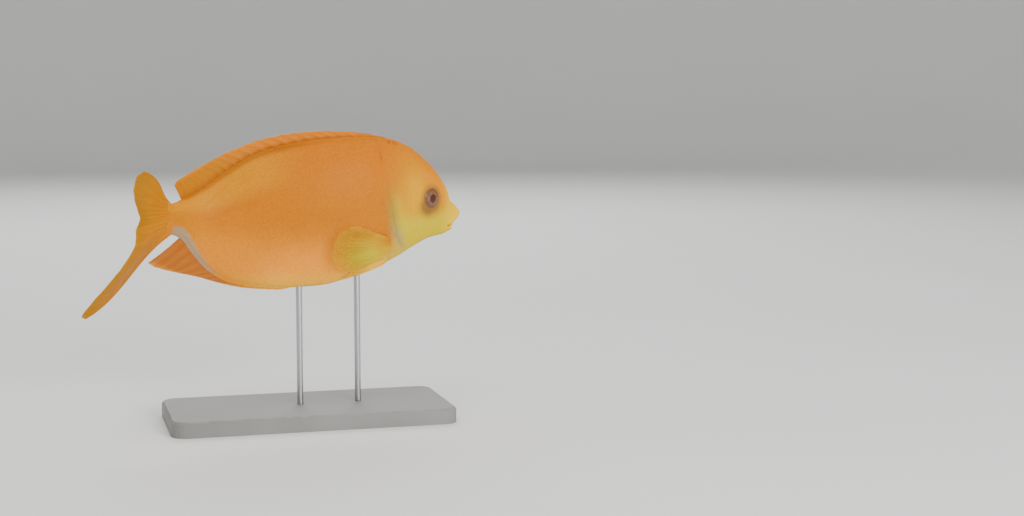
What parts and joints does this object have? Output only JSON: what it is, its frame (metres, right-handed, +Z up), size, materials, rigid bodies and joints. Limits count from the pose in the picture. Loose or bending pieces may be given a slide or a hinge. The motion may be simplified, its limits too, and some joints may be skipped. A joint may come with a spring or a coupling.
{
  "type": "blue-spotted spinefoot",
  "caption": "Life-size display model of a deep-bodied yellow-orange reef fish turning as it swims, held on rods over a flat base.",
  "frame": {"origin": "middle of the flat underside of the stand's base", "axes": "+X the way the fish swims, along the base's long side, +Y the fish's left, +Z up"},
  "size_m": [0.2484, 0.1384, 0.1853],
  "materials": {
    "skin": "wet skin with fine scales",
    "fin": "thin membrane over rays",
    "eye": "glossy",
    "stand_paint": "matt",
    "stand_rod": "satin"
  },
  "bodies": {
    "root": {"head": "skin", "trunk": "skin", "tail_stem": "skin", "eye_left": "eye", "eye_right": "eye", "dorsal_fin": "fin", "anal_fin": "fin", "caudal_fin": "fin", "pectoral_fin_left": "fin", "pectoral_fin_right": "fin", "pelvic_fin_left": "fin", "pelvic_fin_right": "fin", "stand_base": "stand_paint", "stand_rod_front": "stand_rod", "stand_rod_back": "stand_rod"}
  },
  "joints": []
}
